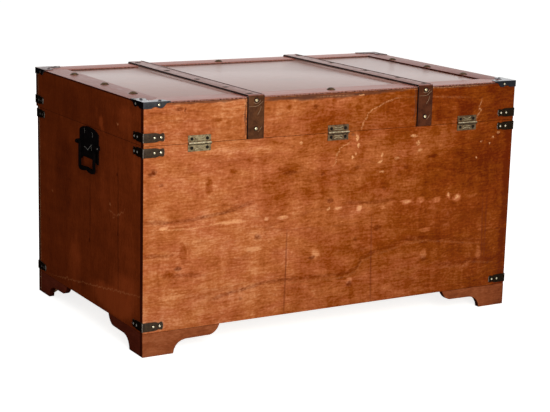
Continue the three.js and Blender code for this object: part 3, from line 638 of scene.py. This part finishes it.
METAL_ROWS = (
    # Stamped steel in black lacquer: bluish grey where it mirrors the room at a low angle
    ("cap", "black_lacquered_steel", "342E3E", "292431", LACQUER, 14.0, 0.5),
    ("cap_far", "dusty_lacquered_steel", "6A4C48", "4C3634", DUSTY, 14.0),
    # The left caps' sides are darker and every cap's end faces nearly black: painted shade
    ("cap_right", "dulled_lacquered_steel", "3E3E40", "28282A", DULL_LACQUER),
    ("cap_left", "shaded_lacquered_steel", "1E1E24", "141418", DULL_LACQUER),
    ("cap_shaded_end", "painted_shade_lacquered_steel", "0E0C0E", "080608", SMOKED),
    # Bronzed steel: nearly black with a brown cast and a little gloss. The left straps and the
    # end faces are darker, painted shade, and the folds pale, a painted highlight
    ("strap_right", "bronzed_steel", "3E2E1C", "1E140C", BRONZED, 5.0),
    ("strap_left", "shaded_steel", "2A2016", "16100A", SMOKED, 5.0),
    ("strap_shaded_end", "painted_shade_steel", "160E08", "0A0604", SMOKED, 5.0),
    ("fold_highlight", "painted_highlight_steel_fold", "A89C90", "6A6058", BRONZED, 6.0, 0.8),
    # Antiqued brass plate: greyish yellow with brown in its hollows
    ("hinge_right", "antiqued_brass_plate", "8C7C5C", "504028", PLATE, 6.0, 0.6),
    # The centre and left hinges are darker: painted shade, following the light's fall-off along
    # the back
    ("hinge_centre", "shaded_brass_plate", "6C5439", "3A2818", PLATE, 6.0, 0.6),
    ("hinge_left", "deeper_shaded_brass_plate", "665034", "362614", PLATE, 6.0, 0.6),
    ("scroll", "rubbed_brass_scroll", "A89A7A", "74664A", PLATE, 7.0, 0.8),
    # A pale finish for the top of the hinge barrels: painted highlight
    ("knuckle_highlight", "painted_highlight_brass_knuckle", "C8BC9C", "8C7C5C", PLATE, 7.0, 0.9),
    ("screw", "darkened_screw_head", "221A12", "100C08", BLACKED, 3.0),
    # Brass plated nail: small and bright
    ("nail", "brass_plated_nail", "D6CCB0", "8E8264", BRIGHT, 2.6, 0.9),
    ("shaded_end_nail", "painted_shade_nail", "787268", "2A2622", BRIGHT, 2.6, 0.5),
    ("band_nail", "browned_band_nail", "CCBC98", "6E5838", BRIGHT, 3.0, 0.8),
    ("dark_nail", "browned_nail", "2A1E18", "140E0C", BLACKED, 3.0),
    # Stamped dome stud: tarnished brass with a rubbed rim
    ("stud", "tarnished_brass_stud", "62482E", "2C1E14", DULL, 5.0, 0.6),
    ("dark_stud", "browned_brass_nail", "4E3C2A", "2A1E14", DULL, 5.0, 0.6),
    # Brushed black paint on cast iron, with soft gloss only on its raised lines and pin ends,
    # whose pale tone is a painted glint on real relief
    ("iron", "black_painted_iron", "120E0E", "090707", SMOKED),
    ("glint_iron", "painted_glint_iron", "6A645C", "2E2A28", DULL, 4.0, 0.7),
    ("catch", "antiqued_brass_catch", "84765A", "4E4028", PLATE, 6.0, 0.7),
    # Leathercloth strap: brown with creases. Its paler top is a painted sheen, and its dark
    # sides, the rings round its nails, the line along its top and the darker left band are
    # painted shade
    ("band_right", "brown_leathercloth", "58341C", "3C2010", CLOTH, 16.0, 0.6),
    ("band_left", "shaded_leathercloth", "502814", "38180A", CLOTH, 16.0, 0.6),
    ("band_top", "polished_leathercloth_painted_sheen", "8C5446", "704034", CLOTH_SHINE, 16.0),
    # The pale backing's tone is a painted haze
    ("band_backing", "pale_backing_painted_haze", "DCC8C0", "C6B0A8", SMOKED, 8.0),
    ("band_shade", "painted_shade_strap_edge", "200E0A", "120806", BLACKED, 8.0),
    ("crease", "rubbed_crease", "A08468", "70543C", CLOTH, 5.0),
)
FINISHES = {**WOODS, **{key: worked_metal(*row) for key, *row in METAL_ROWS}}


# Pieces
STRAPS = {"lid": "lid", "upper": "case", "foot": "case"}
LEAVES = (("upper", 1, "lid"), ("lower", -1, "case"))
FACING = 0.7


def finished(name, shape, body, finishes):
    """Turns a shape into a piece that rides on its body and takes its finishes."""
    mesh = mesh_from(name, shape)
    for finish in finishes:
        mesh.materials.append(FINISHES[finish])
    mesh.shade_smooth()
    mesh.set_sharp_from_angle(angle=math.radians(SHARP_DEGREES))
    piece = placed(name, mesh)
    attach(piece, body)
    return piece


def rounded(shape, edges, width_mm, steps):
    """Rounds edges over that width."""
    bmesh.ops.bevel(shape, geom=edges, offset=width_mm * MM, offset_type="OFFSET",
                    affect="EDGES", segments=steps, profile=0.5, material=-1,
                    clamp_overlap=True)


def cut(shape, place, normal):
    """Cuts new edges into a shape where a plane meets it."""
    bmesh.ops.bisect_plane(shape, geom=shape.verts[:] + shape.edges[:] + shape.faces[:],
                           plane_co=place, plane_no=normal)


EASE_STEPS, FOLD_STEPS = 2, 3


def eased(node, ease_mm, steps=EASE_STEPS, fold_mm=0.0):
    """A copy of a CAD solid, merged, with its corners eased. Folded steel gets a rounder
    bend along its outermost upright corner."""
    shape = bmesh.new()
    shape.from_mesh(NODES[node].data)
    bmesh.ops.remove_doubles(shape, verts=shape.verts, dist=MERGE_MM * MM)
    bmesh.ops.dissolve_limit(
        shape, angle_limit=math.radians(FLAT_DEGREES), verts=shape.verts, edges=shape.edges)
    if fold_mm:
        far = max(abs(vert.co.x) + abs(vert.co.y) for vert in shape.verts)
        bend = [edge for edge in shape.edges
                if all(abs(vert.co.x) + abs(vert.co.y) > far - MERGE_MM * MM
                       for vert in edge.verts)]
        rounded(shape, bend, fold_mm, FOLD_STEPS)
    corners = [edge for edge in shape.edges
               if edge.calc_face_angle(0.0) > math.radians(SHARP_DEGREES)]
    rounded(shape, corners, ease_mm, steps)
    return shape


def faced(shape, outward):
    """Outer faces take the first material, edges the second and inner faces the third."""
    for face in shape.faces:
        lean = face.normal.dot(outward)
        face.material_index = 0 if lean > FACING else 2 if lean < -FACING else 1


BEND_LEAN = 0.35


def sorted_by_side(shape):
    """Faces that look up take the first material, along Y the second, along X the third and
    the bend between the last two the fourth."""
    for face in shape.faces:
        x, y, z = (abs(number) for number in face.normal)
        if face.normal.z > FACING:
            face.material_index = 0
        elif min(x, y) > BEND_LEAN > z:
            face.material_index = 3
        else:
            face.material_index = 1 if y > x or z > FACING else 2


BOARD_EASE, RAIL_EASE, RAIL_STEPS = 0.7, 0.8, 3


def dress_boards():
    """Boards of the case, the lid and the feet, with eased edges. Each row has the node, the
    word for its piece, its body, slot and outer side, and the woods of its outer face, its
    edges and its inner face."""
    rows = []
    for words, out, slot in ((FACES, OUT_Y, "stained_board"), (ENDS, OUT_X, "end_board")):
        for word in words:
            woods = (word, "edge", "inside")
            rows += [(f"{word}_panel", "board", "case", slot, out[word], woods),
                     (f"lid_{word}_panel", "board", "lid", slot, out[word], woods)]
    rows += [("bottom_panel", "board", "case", "raw_board", UP, ("inside",) * 3),
             ("lid_top_panel", "board", "lid", "top_panel", UP, ("top", "inside", "inside"))]
    for word in ("front", "back", "right", "left"):
        # A rail's sides take near-black wood: painted shade under its edges and along the step
        wood, edge = ("rail_long", "shaded_rail_edge") if word in FACES else ("rail_end", "edge")
        rows.append((f"top_frame_{word}", "rail", "lid", "top_frame", UP, (wood, edge, edge)))
    for face, end in CORNERS:
        foot = f"foot_{face}_{end}"
        rows += [(f"{foot}_{face}_board", "shaped", "case", "stained_board", OUT_Y[face],
                  ("foot_long", "edge", "inside")),
                 (f"{foot}_side_board", "shaped", "case", "end_board", OUT_X[end],
                  ("foot_end", "edge", "inside"))]
        block = NODES[f"{foot}_block"].data.materials
        block.clear()
        block.append(WOODS["inside"])
    for node, word, body, slot, outward, woods in rows:
        ease = (RAIL_EASE, RAIL_STEPS) if word == "rail" else (BOARD_EASE, EASE_STEPS)
        shape = eased(node, *ease)
        faced(shape, outward)
        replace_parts(finished(f"{node}_{word}", shape, body, woods), node)


dress_boards()


FOLD_MM, SHEET_EASE, BAND_EASE, LEAF_EASE = 1.3, 0.35, 1.2, 0.3
PLATE_EASE, BAIL_EASE, TONGUE_EASE = 0.5, 0.9, 0.4
KNUCKLE_REACH, BARREL_LEAN, SHADE_BELOW, HIGHLIGHT_ABOVE = 3.3, 0.5, -0.2, 0.4
PANEL_TOP, BACKING_TOP = 504.8, 508.9


def shade_knuckles(shape):
    """The barrel's top takes a pale finish, a painted highlight, and its underside the dark
    screw finish, a painted shade; the leaves stay as they are.
    """
    for face in shape.faces:
        middle = face.calc_center_median() / MM
        out = math.hypot(middle.y - HINGE_AXIS_Y, middle.z - LID_LINE)
        if (out < KNUCKLE_REACH and abs(face.normal.x) < BARREL_LEAN
                and middle.y > HINGE_AXIS_Y):
            face.material_index = (2 if face.normal.z < SHADE_BELOW
                                   else int(face.normal.z > HIGHLIGHT_ABOVE))


def back_with_felt(shape):
    """A band is a thin dark strap on a pale backing, which shows along its sides on top. The
    backing's pale tone paints the haze that the polished panel beside it shows.
    """
    cut(shape, (0, 0, BACKING_TOP * MM), (0, 0, 1))
    for face in shape.faces:
        height = face.calc_center_median().z / MM
        if abs(face.normal.x) > FACING and PANEL_TOP < height < BACKING_TOP:
            face.material_index = 3
        elif face.material_index == 3:
            face.material_index = 2


def light_inner_rims(shape):
    """The scalloped rims that look toward the middle of the lid mirror the room as its top."""
    for face in shape.faces:
        middle = face.calc_center_median()
        inward = face.normal.x * middle.x + face.normal.y * middle.y < 0
        if inward and middle.z > FRAME_TOP * MM:
            face.material_index = 0


def dress_metal():
    """Caps, straps, bands, hinges, handles and catch, with eased edges. Each row has the
    node, its body, slot and finishes, and how far its edges are eased."""
    rows = []
    for face, end in CORNERS:
        top = "cap" if face == "back" else "cap_far"
        # Caps and straps are darker on their end faces and at the left end, painted shade, and a
        # strap's fold is pale, a painted highlight
        rows.append((f"corner_cap_{face}_{end}", "lid", "cap_steel",
                     (top, f"cap_{end}", "cap_shaded_end", f"cap_{end}"), SHEET_EASE))
        strap = f"strap_{end}"
        rows += [(f"{kind}_strap_{face}_{end}", body, "strap_steel",
                  (strap, strap, "strap_shaded_end", "fold_highlight"), SHEET_EASE)
                 for kind, body in STRAPS.items()]
    rows += [(f"band_{end}", "lid", "band",
              ("band_top", f"band_{end}", "band_shade", "band_backing"), BAND_EASE)
             for end in ENDS]
    rows += [(f"hinge_{word}_{part}", body, "hinge_brass",
              (f"hinge_{word}", "knuckle_highlight", "screw"), LEAF_EASE)
             for word in HINGE_CENTRES
             for part, body in (("upper_leaf", "lid"), ("lower_leaf", "case"), ("pin", "case"))]
    rows += [(f"handle_{end}_{part}", body, "handle_iron", ("iron",), ease) for end in ENDS
             for part, body, ease in (("plate", "case", PLATE_EASE),
                                      ("bail", f"{end}_bail", BAIL_EASE))]
    rows += [(f"catch_{part}", body, "catch_brass", ("catch",), ease)
             for part, body, ease in (("plate", "case", SHEET_EASE),
                                      ("tongue", "catch", TONGUE_EASE),
                                      ("keeper", "lid", SHEET_EASE))]
    for node, body, slot, finishes, ease in rows:
        shape = eased(node, ease, fold_mm=FOLD_MM if slot.endswith("steel") else 0.0)
        if node.startswith("hinge"):
            shade_knuckles(shape)
        elif len(finishes) > 1:
            sorted_by_side(shape)
            if node.startswith("band"):
                back_with_felt(shape)
            elif node.startswith("corner"):
                light_inner_rims(shape)
        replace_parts(finished(f"{node}_finished", shape, body, finishes), node)


dress_metal()


# Each head's radius, rise and sides. The stud's dome has a raised rim, and screws a slot
HEADS = {
    "nail": (2.9, 1.5, 12), "cap_nail": (3.2, 1.0, 12), "drop_nail": (4.0, 2.2, 14),
    "top_nail": (4.0, 1.0, 14), "pin": (1.6, 0.8, 12), "stud": (9.2, 4.6, 20),
    "screw": (3.5, 0.9, 16), "small_screw": (2.2, 0.9, 14),
}
SHANK_RADIUS, SHANK_DEPTH = 1.0, 1.2
HEAD_EDGE, DOME_STEPS = 0.3, 4
# A rim's width and rise, and the shares of them at its inside, outside and flat
RIM_WIDTH, RIM_RISE, RIM_INSIDE, RIM_OUTSIDE, RIM_FLAT = 1.5, 1.2, 0.7, 0.6, 0.4
SLOT_WIDTH, SLOT_DEPTH, SLOT_LEAN = 0.8, 0.6, 0.5
CROWN_LEAN = 0.86
TURN_BETWEEN_HEADS = 37


def close_up(shape):
    """Joins points that meet and turns all faces outward."""
    bmesh.ops.remove_doubles(shape, verts=shape.verts, dist=MERGE_MM * MM)
    bmesh.ops.recalc_face_normals(shape, faces=shape.faces)


def slot_across(shape, rise):
    """Cuts a slot across a screw's head."""
    half = SLOT_WIDTH / 2 * MM
    for side in (half, -half):
        cut(shape, (0, side, 0), (0, 1, 0))
    floor = [face for face in shape.faces if abs(face.calc_center_median().y) < half
             and face.normal.z > SLOT_LEAN]
    sunk = bmesh.ops.extrude_face_region(shape, geom=floor)
    for item in sunk["geom"]:
        if isinstance(item, bmesh.types.BMVert):
            item.co.z = rise * MM - SLOT_DEPTH * MM
    bmesh.ops.delete(shape, geom=floor, context="FACES")
    bmesh.ops.recalc_face_normals(shape, faces=shape.faces)


def head(kind):
    """A domed head on a short shank. Half its outline is spun round Z."""
    radius, rise, sides = HEADS[kind]
    outline = [(0, -SHANK_DEPTH), (SHANK_RADIUS, -SHANK_DEPTH), (SHANK_RADIUS, 0), (radius, 0)]
    base, first = HEAD_EDGE, 0
    if kind == "stud":
        base, first = RIM_RISE * RIM_INSIDE, 1
        outline += [(radius, RIM_RISE * RIM_OUTSIDE),
                    (radius - RIM_WIDTH * RIM_FLAT, RIM_RISE), (radius - RIM_WIDTH, base)]
        radius = radius - RIM_WIDTH
    for step in range(first, DOME_STEPS):
        angle = math.pi / 2 * step / DOME_STEPS
        outline.append((radius * math.cos(angle), base + (rise - base) * math.sin(angle)))
    outline.append((0, rise))
    shape = bmesh.new()
    points = [shape.verts.new((out * MM, 0, height * MM)) for out, height in outline]
    edges = [shape.edges.new(pair) for pair in zip(points, points[1:])]
    bmesh.ops.spin(shape, geom=points + edges, cent=(0, 0, 0), axis=(0, 0, 1),
                   angle=math.tau, steps=sides, use_merge=True)
    close_up(shape)
    if kind.endswith("screw"):
        slot_across(shape, rise)
    return shape


def fittings(name, kind, places, body, slot, finish, rim=None):
    """One piece of equal heads, each set on its point and turned to its outward direction.
    With a rim, the steep sides of each head take that darker finish: a painted shade round
    the bright crown."""
    pattern = head(kind)
    for face in pattern.faces:
        face.material_index = int(bool(rim) and face.normal.z < CROWN_LEAN)
    whole = bmesh.new()
    mesh = bpy.data.meshes.new(name)
    for number, (point, outward) in enumerate(places):
        copy = pattern.copy()
        turn = outward.to_track_quat("Z", "Y").to_matrix().to_4x4()
        spin = Matrix.Rotation(math.radians(TURN_BETWEEN_HEADS * number), 4, "Z")
        bmesh.ops.transform(copy, matrix=Matrix.Translation(Vector(point) * MM) @ turn @ spin,
                            verts=copy.verts)
        copy.to_mesh(mesh)
        copy.free()
        whole.from_mesh(mesh)
    bpy.data.meshes.remove(mesh)
    pattern.free()
    finished(name, whole, body, [finish, rim] if rim else [finish])


def edges_of(node):
    """A node's box at rest, in millimetres."""
    low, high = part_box(node)
    return Vector(low) / MM, Vector(high) / MM


def sides_of(node):
    """How far a node reaches to the back and to the front."""
    low, high = edges_of(node)
    return {"back": high.y, "front": low.y}


def outer(node, face, end):
    """The outermost corner of a node toward a face and an end, at its top."""
    low, high = edges_of(node)
    return Vector((high.x if end == "right" else low.x, sides_of(node)[face], high.z))


# Nails on the end faces are darker, the front ones darkest: painted shade
END_NAILS = {"back": "shaded_end_nail", "front": "dark_nail"}
CAP_NAIL_IN, CAP_NAIL_BELOW = 33.0, 6.5
CAP_LOBES = ((42.0, 15.0), (15.0, 42.0))
STRAP_NAILS_IN = (24.0, 38.0)


def nail_caps_and_straps():
    """Round nails through the corner caps and the corner straps."""
    def nails(name, places, body, finish):
        # Their sides take the dark screw finish: painted shade round each head
        fittings(name, "nail", places, body, "hinge_brass", finish, "screw")

    for face, end in CORNERS:
        out_y, out_x = OUT_Y[face], OUT_X[end]
        node = f"corner_cap_{face}_{end}"
        corner = outer(node, face, end)
        below = corner - UP * CAP_NAIL_BELOW
        nails(f"{node}_nail", [(below - out_x * CAP_NAIL_IN, out_y)], "lid", "nail")
        nails(f"{node}_end_nail", [(below - out_y * CAP_NAIL_IN, out_x)], "lid",
              END_NAILS[face])
        tops = [(corner - out_x * across - out_y * along, UP) for across, along in CAP_LOBES]
        fittings(f"{node}_top_nails", "cap_nail", tops, "lid", "strap_steel", "dark_nail")
        for kind, body in STRAPS.items():
            node = f"{kind}_strap_{face}_{end}"
            low, high = edges_of(node)
            corner = outer(node, face, end)
            corner.z = (low.z + high.z) / 2
            nails(f"{node}_nails", [(corner - out_x * run, out_y) for run in STRAP_NAILS_IN],
                  body, "nail")
            nails(f"{node}_end_nails",
                  [(corner - out_y * run, out_x) for run in STRAP_NAILS_IN], body,
                  END_NAILS[face])


BATTEN_REACH, BATTEN_WIDTH, BATTEN_SPREAD, BATTEN_EASE = 221.5, 37.6, 1.28, 0.5


def pack_bands():
    """A batten with sloped sides fills the step between each band and the sunk panel."""
    size = (BATTEN_WIDTH * MM, 2 * BATTEN_REACH * MM, (FRAME_TOP - PANEL_TOP) * MM, 1)
    for end, way in ENDS.items():
        middle = (way * BAND_CENTRE * MM, 0, (PANEL_TOP + FRAME_TOP) / 2 * MM)
        shape = bmesh.new()
        bmesh.ops.create_cube(shape, size=1.0)
        bmesh.ops.scale(shape, vec=(BATTEN_SPREAD, 1, 1),
                        verts=[vert for vert in shape.verts if vert.co.z < 0])
        bmesh.ops.transform(shape, verts=shape.verts,
                            matrix=Matrix.Translation(middle) @ Matrix.Diagonal(size))
        rounded(shape, shape.edges[:], BATTEN_EASE, EASE_STEPS)
        finished(f"band_{end}_batten", shape, "lid", ["top"])


BAND_NAIL_HEIGHTS = (501.0, 444.0)
BAND_TOP_NAILS = (-251.0, -102.5, 41.5, 167.5, 265.5)
BAND_NAIL_OFF = 7.5


def nail_bands():
    """Larger nails down the drops of the bands and along their tops."""
    for end, way in ENDS.items():
        high = edges_of(f"band_{end}")[1]
        drops = [((way * BAND_CENTRE, along, height), OUT_Y[face])
                 for face, along in sides_of(f"band_{end}").items()
                 for height in BAND_NAIL_HEIGHTS]
        tops = [((way * (BAND_CENTRE + BAND_NAIL_OFF), along, high.z), UP)
                for along in BAND_TOP_NAILS]
        # The drop nails' sides take the dark stud finish: painted shade round each head
        for kind, places, *finishes in (("drop_nail", drops, "band_nail", "dark_stud"),
                                        ("top_nail", tops, "dark_stud")):
            fittings(f"band_{end}_{kind}s", kind, places, "lid", "hinge_brass", *finishes)


# Each stud's place on its rail
STUDS = {
    "right": [(416.0, -140.0), (416.0, 20.0), (416.0, 158.0)],
    "left": [(-406.0, -132.0), (-406.0, 10.0), (-406.0, 148.0)],
    "back": [(11.0, 250.0)],
    "front": [(12.7, -239.0)],
}


def stud_rails():
    """Dome studs with a raised rim, pressed into the rails of the lid's top."""
    for word, spots in STUDS.items():
        places = [((x, y, FRAME_TOP), UP) for x, y in spots]
        fittings(f"top_frame_{word}_studs", "stud", places, "lid", "hinge_brass", "stud")


HINGE_SCREW_OUT, HINGE_SCREW_RISE, HINGE_LEAF_FACE = 17.0, 9.0, 280.3
HANDLE_FACE = 452.3
HANDLE_SCREWS = ((0.0, 412.0), (-30.0, 398.0), (30.0, 398.0), (-34.0, 360.0), (34.0, 360.0))
CATCH_FACE_OUT, CATCH_SCREW_IN = 1.8, 4.2


def drive_screws():
    """Slotted screws in the hinge leaves, the handle plates and the catch."""
    rows = []
    for word, middle in HINGE_CENTRES.items():
        for kind, rise, body in LEAVES:
            height = LID_LINE + rise * HINGE_SCREW_RISE
            rows.append((f"hinge_{word}_{kind}", "screw", [
                ((middle + out, HINGE_LEAF_FACE, height), OUT_Y["back"])
                for out in (-HINGE_SCREW_OUT, HINGE_SCREW_OUT)], body, "hinge_brass", "screw"))
    for end, way in ENDS.items():
        low, high = edges_of(f"handle_{end}_plate")
        middle = (low.y + high.y) / 2
        rows.append((f"handle_{end}", "screw", [
            ((way * HANDLE_FACE, middle + along, height), OUT_X[end])
            for along, height in HANDLE_SCREWS], "case", "handle_iron", "iron"))
    for node, body, wall in (("catch_plate", "case", CASE_FRONT),
                             ("catch_keeper", "lid", LID_FRONT)):
        low, high = edges_of(node)
        rows.append((node, "small_screw", [
            ((x, wall - CATCH_FACE_OUT, z), OUT_Y["front"])
            for x in (low.x + CATCH_SCREW_IN, high.x - CATCH_SCREW_IN)
            for z in (low.z + CATCH_SCREW_IN, high.z - CATCH_SCREW_IN)],
            body, "catch_brass", "screw"))
    for node, *rest in rows:
        fittings(f"{node}_screws", *rest)


LINE_SIDES, LINE_STEPS, LINE_ORDER, RING_STEPS = 1, 4, 3, 12


def beads(name, lines, thickness, body, finish, closed=False, smooth=True):
    """Thin raised lines, each swept round along its points in millimetres."""
    path = bpy.data.curves.new(name, "CURVE")
    path.dimensions = "3D"
    path.bevel_depth = thickness / 2 * MM
    path.bevel_resolution = LINE_SIDES
    path.use_fill_caps = True
    path.resolution_u = LINE_STEPS
    for line in lines:
        spline = path.splines.new("NURBS" if smooth and len(line) > 2 else "POLY")
        spline.points.add(len(line) - 1)
        for point, (x, y, z) in zip(spline.points, line):
            point.co = (x * MM, y * MM, z * MM, 1.0)
        spline.use_cyclic_u = closed
        spline.use_endpoint_u = not closed
        spline.order_u = LINE_ORDER
    swept = placed(name, path)
    ready = swept.evaluated_get(bpy.context.evaluated_depsgraph_get())
    mesh = bpy.data.meshes.new_from_object(ready)
    bpy.data.objects.remove(swept)
    shape = bmesh.new()
    shape.from_mesh(mesh)
    bpy.data.meshes.remove(mesh)
    bpy.data.curves.remove(path)
    close_up(shape)
    finished(name, shape, body, [finish])


def ring_of(middle, radius, normal):
    """Points of a ring round a middle, square to its normal."""
    turn = Vector(normal).to_track_quat("Z", "Y").to_matrix()
    angles = [math.tau * step / RING_STEPS for step in range(RING_STEPS)]
    return [Vector(middle) + turn @ Vector((
        radius * math.cos(angle), radius * math.sin(angle), 0)) for angle in angles]


# Thicknesses of the raised lines, and where they lie
SCROLL_LINE, CREASE_LINE, DROP_RING_LINE, TOP_RING_LINE = 1.5, 0.9, 1.0, 0.8
EDGE_LINE, HANDLE_LINE = 1.6, 1.0
SCROLL_FOOT, SCROLL_SAG, SCROLL_CREST, SCROLL_HALF, SCROLL_DIP = 6.4, 0.6, 12.6, 10.0, 3.4
DROP_RING, TOP_RING = 4.8, 7.0
BAND_GROOVE_OFF, BAND_LINE_INSET = 13.5, 2.5
# Creases of the photographed drops: along the chest from the band's middle, and the height
DROP_CREASES = ([(16, 489), (6, 488.5), (-3, 489), (-9, 493), (-15, 498)],
                [(-3, 471), (-7, 477), (-10, 483), (-11, 488)],
                [(6, 496), (0, 494), (-7, 496), (-10, 501)],
                [(-5, 437), (-9, 441), (-13, 447)])
HANDLE_LINES = ([(-2, 378), (8, 376), (16, 373), (28, 381), (38, 388)], [(35, 382), (36, 374)],
                [(-1, 416), (1, 412), (0, 406)], [(38, 413), (43, 408), (39, 403)])
BAIL_AXIS_X, BAIL_AXIS_Z = 456.3, 385.0


def raise_details():
    """Pressed scrolls of the hinges, creases and rings of the bands, lines of the handle."""
    for word, middle in HINGE_CENTRES.items():
        for kind, rise, body in LEAVES:
            crest, foot = LID_LINE + rise * SCROLL_CREST, LID_LINE + rise * SCROLL_FOOT
            bow = [(middle + share * SCROLL_HALF, HINGE_LEAF_FACE,
                    crest - rise * SCROLL_DIP * (1 - share * share))
                   for share in (-1, -0.6, 0, 0.6, 1)]
            base = [(middle + share * SCROLL_HALF, HINGE_LEAF_FACE, height)
                    for share, height in ((-1, foot), (0, foot - rise * SCROLL_SAG), (1, foot))]
            beads(f"hinge_{word}_{kind}_scroll", [bow, base], SCROLL_LINE,
                  body, "scroll")
    for end, way in ENDS.items():
        low, high = edges_of(f"band_{end}")
        rows = []
        for face, out in sides_of(f"band_{end}").items():
            creases = [[(way * BAND_CENTRE + along, out, height) for along, height in crease]
                       for crease in DROP_CREASES]
            # Rings in the dark edge finish round each nail: painted shade
            rings = [ring_of((way * BAND_CENTRE, out, height), DROP_RING, OUT_Y[face])
                     for height in BAND_NAIL_HEIGHTS]
            rows += [(f"{face}_creases", creases, CREASE_LINE, "crease", False),
                     (f"{face}_nail_rings", rings, DROP_RING_LINE, "band_shade", True)]
        rings = [ring_of((way * (BAND_CENTRE + BAND_NAIL_OFF), along, high.z), TOP_RING, UP)
                 for along in BAND_TOP_NAILS]
        # A dark line along the band's top, in the dark edge finish: painted shade
        groove = way * BAND_CENTRE - BAND_GROOVE_OFF
        edge = [(groove, low.y + BAND_LINE_INSET, high.z),
                (groove, high.y - BAND_LINE_INSET, high.z)]
        rows += [("nail_rings", rings, TOP_RING_LINE, "band_shade", True),
                 ("edge_line", [edge], EDGE_LINE, "band_shade", False)]
        for word, lines, thickness, finish, closed in rows:
            beads(f"band_{end}_{word}", lines, thickness, "lid", finish, closed)
        # The handle's raised lines lie where it glints, and their pale finish paints the glints,
        # as does that of the pin ends
        lines = [[(way * HANDLE_FACE, along, height) for along, height in line]
                 for line in HANDLE_LINES]
        beads(f"handle_{end}_lines", lines, HANDLE_LINE, "case", "glint_iron",
              smooth=False)
        pins = [((way * BAIL_AXIS_X, along, BAIL_AXIS_Z), OUT_Y[face])
                for face, along in sides_of(f"handle_{end}_bail").items()]
        fittings(f"handle_{end}_pin_ends", "pin", pins, f"{end}_bail", "handle_iron",
                 "glint_iron")


nail_caps_and_straps()
pack_bands()
nail_bands()
stud_rails()
drive_screws()
raise_details()
